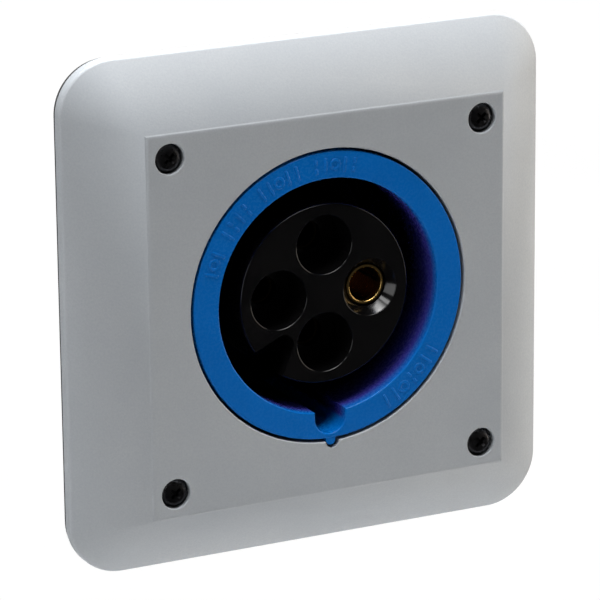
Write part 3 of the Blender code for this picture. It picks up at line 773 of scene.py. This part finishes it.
def build_terminal(name, angle):
    box = Extent(f"{name}_terminal")
    centre = ring_point(CONTACT_CIRCLE, angle)
    along = Vector((math.cos(angle), math.sin(angle), 0))
    block = slab(f"{name}_terminal_piece", box.width, box.height, 1.5 * MM, box.front,
                 box.back, 8)
    place(block, centre, turn=angle)
    stud_hole = rod("stud hole", STUD_HOLE_RADIUS, box.front + OVERRUN, box.front - 4.3 * MM, 32)
    cut(block, place(stud_hole, centre))
    wire_hole = rod("wire hole", WIRE_HOLE_RADIUS, box.back + 11 * MM, box.back - OVERRUN)
    cut(block, place(wire_hole, centre))
    pad = Extent(f"{name}_clamp_pad")
    axis_height = (pad.back + pad.front) / 2
    screw_hole = rod("clamp hole", CLAMP_HOLE_RADIUS, box.width, 0, 40)
    cut(block, place(screw_hole, centre + OUT * axis_height, along))
    soften(block, 0.3 * MM, 50, 3)
    finish_as("brass", block)
    build_clamp(name, centre + OUT * axis_height + along * CLAMP_TIP_REACH, along)


def build_clamp(name, tip, along):
    """The clamp screw and the pressure pad at its tip."""
    pad = turned(f"{name}_clamp_pad_piece", [
        (0, PAD_FRONT), (CLAMP_RADIUS, PAD_FRONT, 0.15 * MM), (CLAMP_RADIUS, PAD_BACK, 0.2 * MM),
        (0, PAD_BACK)], 40)
    finish_as("spring_steel", place(pad, tip, along), f"{name}_pad")
    points, swell = thread(CLAMP_RADIUS, CLAMP_PITCH, 5.7 * MM, 0.4 * MM)
    screw = turned(f"{name}_clamp_screw_piece", [
        (0, CLAMP_HEAD_TOP), (CLAMP_HEAD_RADIUS, CLAMP_HEAD_TOP, 0.35 * MM),
        (CLAMP_HEAD_RADIUS, CLAMP_HEAD_BOTTOM, 0.15 * MM),
        (CLAMP_RADIUS, CLAMP_HEAD_BOTTOM, 0.1 * MM)] + points + [(1.5 * MM, 0), (0, 0)], 48,
        swell=swell)
    place(screw, tip, along)
    slot = slab("driver slot", 8 * MM, 0.8 * MM, 0, CLAMP_HEAD_TOP + OVERRUN,
                CLAMP_HEAD_TOP - 1 * MM)
    cut(screw, place(slot, tip, along))
    finish_as("zinc_steel", screw, f"{name}_screw")


# ---- screws and washers ----------------------------------------------------------------
def recess_wing(reach, width, top, depth):
    """One bar of a cross recess, narrower at the bottom."""
    wing = slab("recess wing", 2 * reach, width, 0.1 * MM, top + OVERRUN, top - depth, 3)
    for vertex in wing.data.vertices:
        if vertex.co.z < top:
            vertex.co.x *= 0.45
            vertex.co.y *= 0.7
    return wing


def cross_head_screw(name, location, head_radius, radius, length, pitch, direction=OUT):
    """A pan-head screw whose origin is on its axis, at the underside of its head."""
    head_height = HEAD_HEIGHT_RATIO * head_radius
    points, swell = thread(radius, pitch, -0.6 * MM, 1.0 * MM - length, 0.3 * MM)
    screw = turned(name, [
        (0, head_height), (head_radius, head_height, 0.55 * head_radius),
        (head_radius, 0, 0.12 * MM), (radius, 0, 0.1 * MM)] + points
        + [(0.6 * radius, -length), (0, -length)], 56, swell=swell)
    place(screw, location, direction)
    for turn in (math.pi / 4, -math.pi / 4):
        wing = recess_wing(0.58 * head_radius, 0.26 * head_radius, head_height, 1.35 * MM)
        cut(screw, place(wing, location, direction, turn))
    return screw


def build_face_screws():
    for number, spot in enumerate(face_screw_spots(), 1):
        box = Extent(f"face_screw_{number}")
        washer_box = Extent(f"face_washer_{number}")
        head_radius = box.width / 2
        seat = box.front - HEAD_HEIGHT_RATIO * head_radius
        screw = cross_head_screw(f"face_screw_{number}_piece", spot + OUT * seat, head_radius,
                                 FACE_SHANK_RADIUS, seat - box.back, FACE_PITCH)
        finish_as("black_steel", screw, f"screw_{number}")
        inner = FACE_SHANK_RADIUS + WASHER_CLEARANCE
        outer = washer_box.width / 2
        washer = turned(f"face_washer_{number}_piece", [
            (inner, washer_box.front, 0.1 * MM), (outer, washer_box.front, 0.15 * MM),
            (outer, washer_box.back, 0.15 * MM), (inner, washer_box.back, 0.1 * MM)], 48,
            closed=True)
        finish_as("black_rubber", place(washer, spot), f"washer_{number}")


def build_small_screws():
    """The fixed screws, whose heads are towards the back."""
    for family, circle, angles, length in (
            ("flange_screw", FLANGE_SCREW_CIRCLE, DIAGONALS, 8 * MM),
            ("carrier_screw", CARRIER_SCREW_CIRCLE, DIAGONALS[1::2], 12 * MM)):
        for number, angle in enumerate(angles, 1):
            seat = (Extent(f"{family}_{number}").back
                    + HEAD_HEIGHT_RATIO * SMALL_HEAD_RADIUS)
            screw = cross_head_screw(f"{family}_{number}_piece",
                                     ring_point(circle, angle, seat), SMALL_HEAD_RADIUS,
                                     SMALL_SCREW_RADIUS, length, SMALL_PITCH, -OUT)
            finish_as("zinc_steel", screw)


# ---- generic raised marks on the ring --------------------------------------------------
MARK_HEIGHT = 3.8 * MM
MARK_STROKE = 0.85 * MM
MARK_RELIEF = 0.19 * MM


def raised_bar(length, width=MARK_STROKE):
    """A low rounded bar, lying along x before it is placed."""
    bar = slab("bar", length, width, 0.3 * MM, RING_FACE + MARK_RELIEF,
               RING_FACE - 0.5 * MM, 4)
    soften(bar, 0.28 * MM, 40, 3)
    return bar


def raised_ring(radius):
    """A low rounded ring."""
    return turned("hoop", [
        (radius - MARK_STROKE, RING_FACE + MARK_RELIEF, 0.28 * MM),
        (radius, RING_FACE + MARK_RELIEF, 0.28 * MM), (radius, RING_FACE - 0.5 * MM),
        (radius - MARK_STROKE, RING_FACE - 0.5 * MM)], 40, closed=True)


def merge(name, items):
    """Join baked objects into one mesh in the front view's frame."""
    bm = bmesh.new()
    bpy.context.view_layer.update()
    for item in items:
        part = item.data.copy()
        part.transform(item.matrix_world)
        bm.from_mesh(part)
        bpy.data.objects.remove(item, do_unlink=True)
    return from_bmesh(name, bm)


def marks_along(name, first, last, pattern):
    """Plain signs spread over an arc of the ring: | a bar, : two short bars, o a ring."""
    radius = (RING_RADIUS + BORE_RADIUS) / 2
    items = []
    for step, sign in enumerate(pattern):
        angle = math.radians(first + (last - first) * step / (len(pattern) - 1))
        if sign == "|":
            items.append(place(raised_bar(MARK_HEIGHT), ring_point(radius, angle), turn=angle))
        elif sign == "o":
            items.append(place(raised_ring(1.5 * MM), ring_point(radius, angle)))
        elif sign == ":":
            for shift in (-1.1 * MM, 1.1 * MM):
                bar = raised_bar(1.5 * MM, 0.9 * MM)
                items.append(place(bar, ring_point(radius + shift, angle), turn=angle))
    return merge(name, [bake(item) for item in items])


def build_marks():
    """Signs without meaning on the two arcs where such a ring carries moulded text."""
    upper = marks_along("ring_marks_upper", 163, 78, "|o| |:|: ||o|| :|o|:")
    lower = marks_along("ring_marks_lower", -32, -62, "||o:o||")
    for marks in (upper, lower):
        finish_as("blue_plastic", marks, nodes=[])


# ---- floor, light and camera -----------------------------------------------------------
FLOOR_HEIGHT = -0.30
AMBIENT = 0.03              # what lights the part from all round
BACKDROP = 0.95             # what the camera sees beyond the floor


def plane(name, half_size, height):
    bm = bmesh.new()
    bmesh.ops.create_grid(bm, x_segments=8, y_segments=8, size=half_size,
                          matrix=Matrix.Translation((0, 0, height)))
    return from_bmesh(name, bm)


def build_floor():
    """A pale floor for the light to bounce off, under a sheet that keeps its view even."""
    floor = plane("floor", 4.0, FLOOR_HEIGHT)
    material, tree, shader = new_shader("pale_floor", 0.9)
    colour = blend_colours(tree, spread(tree, noise(tree, 6, 2), 0, 1), (0.90, 0.90, 0.90),
                           (0.92, 0.92, 0.92))
    tree.links.new(colour, shader.inputs["Base Color"])
    floor.data.materials.append(material)
    sheet = plane("floor_sheet", 12.0, FLOOR_HEIGHT + 1 * MM)
    glow, tree, shader = new_shader("floor_glow", 0.9)
    shader.inputs["Base Color"].default_value = (0, 0, 0, 1)
    shader.inputs["Specular IOR Level"].default_value = 0.0
    tone = blend_colours(tree, spread(tree, noise(tree, 6, 2), 0, 1), (1.0, 1.0, 1.0),
                         (1.02, 1.02, 1.02))
    tree.links.new(tone, shader.inputs["Emission Color"])
    shader.inputs["Emission Strength"].default_value = 1.0
    sheet.data.materials.append(glow)
    for ray in ("diffuse", "glossy", "transmission", "volume_scatter", "shadow"):
        setattr(sheet, f"visible_{ray}", False)
    floor.visible_glossy = False


def softbox(name, position, aim, width, height, watts, colour=(1, 1, 1), spread_degrees=180):
    data = bpy.data.lights.new(name, 'AREA')
    data.shape = 'RECTANGLE'
    data.size = width
    data.size_y = height
    data.energy = watts
    data.color = colour
    data.spread = math.radians(spread_degrees)
    light = bpy.data.objects.new(name, data)
    light.location = position
    light.rotation_euler = (Vector(aim) - Vector(position)).to_track_quat('-Z', 'Y').to_euler()
    bpy.context.scene.collection.objects.link(light)


def build_lights():
    """Soft light from above and from the right, with little from in front."""
    centre = (0, 0, 0)
    warm = (1.0, 0.91, 0.79)
    softbox("top softbox", (0.0, -0.02, 0.8), centre, 1.0, 0.7, 6.3, spread_degrees=70)
    softbox("upper left softbox", (-0.62, -0.24, 0.72), centre, 0.22, 0.22, 1.2)
    softbox("right softbox", (0.8, -0.05, 0.1), centre, 0.6, 0.7, 6.2, warm)
    softbox("left softbox", (-0.9, -0.25, 0.1), centre, 0.5, 0.6, 2.3)
    softbox("background softbox", (0.5, 1.15, 1.0), (0.5, 1.15, -0.3), 1.7, 1.9, 40,
            spread_degrees=110)
    world = bpy.data.worlds.new("studio")
    world.use_nodes = True
    tree = world.node_tree
    background = tree.nodes["Background"]
    background.inputs["Color"].default_value = (1, 1, 1, 1)
    path = tree.nodes.new("ShaderNodeLightPath")
    strength = spread(tree, path.outputs["Is Camera Ray"], AMBIENT, BACKDROP, 0, 1)
    tree.links.new(strength, background.inputs["Strength"])
    bpy.context.scene.world = world


def build_camera():
    """A long lens, level with the horizon but for a hair of roll, above and to the left."""
    pitch, yaw, roll = (math.radians(degrees) for degrees in (16.82, 25.91, 0.57))
    to_camera = (Matrix.Rotation(roll, 3, 'Z') @ Matrix.Rotation(pitch, 3, 'X')
                 @ Matrix.Rotation(yaw, 3, 'Y'))
    distance = 7.689 * PLATE.width
    across, down = 0.0124 * PLATE.width, -0.0161 * PLATE.width
    target = Vector((0, 0, RIM_FRONT))
    offset = Vector((across, -down, -distance))
    position = target - to_camera.transposed() @ offset
    data = bpy.data.cameras.new("camera")
    data.lens = 241.6
    data.clip_start = 0.01
    data.clip_end = 50
    camera = bpy.data.objects.new("camera", data)
    camera.matrix_world = FRONT @ (Matrix.Translation(position)
                                   @ to_camera.transposed().to_4x4())
    bpy.context.scene.collection.objects.link(camera)
    bpy.context.scene.camera = camera
    bpy.context.scene.view_settings.view_transform = 'Standard'


build_plate()
build_gasket()
build_housing()
build_seal()
build_carrier()
for contact, clock in CONTACTS.items():
    build_sleeve(contact, clock)
    build_spring(contact, clock)
    build_terminal(contact, clock)
build_face_screws()
build_small_screws()
build_marks()
build_floor()
build_lights()
build_camera()
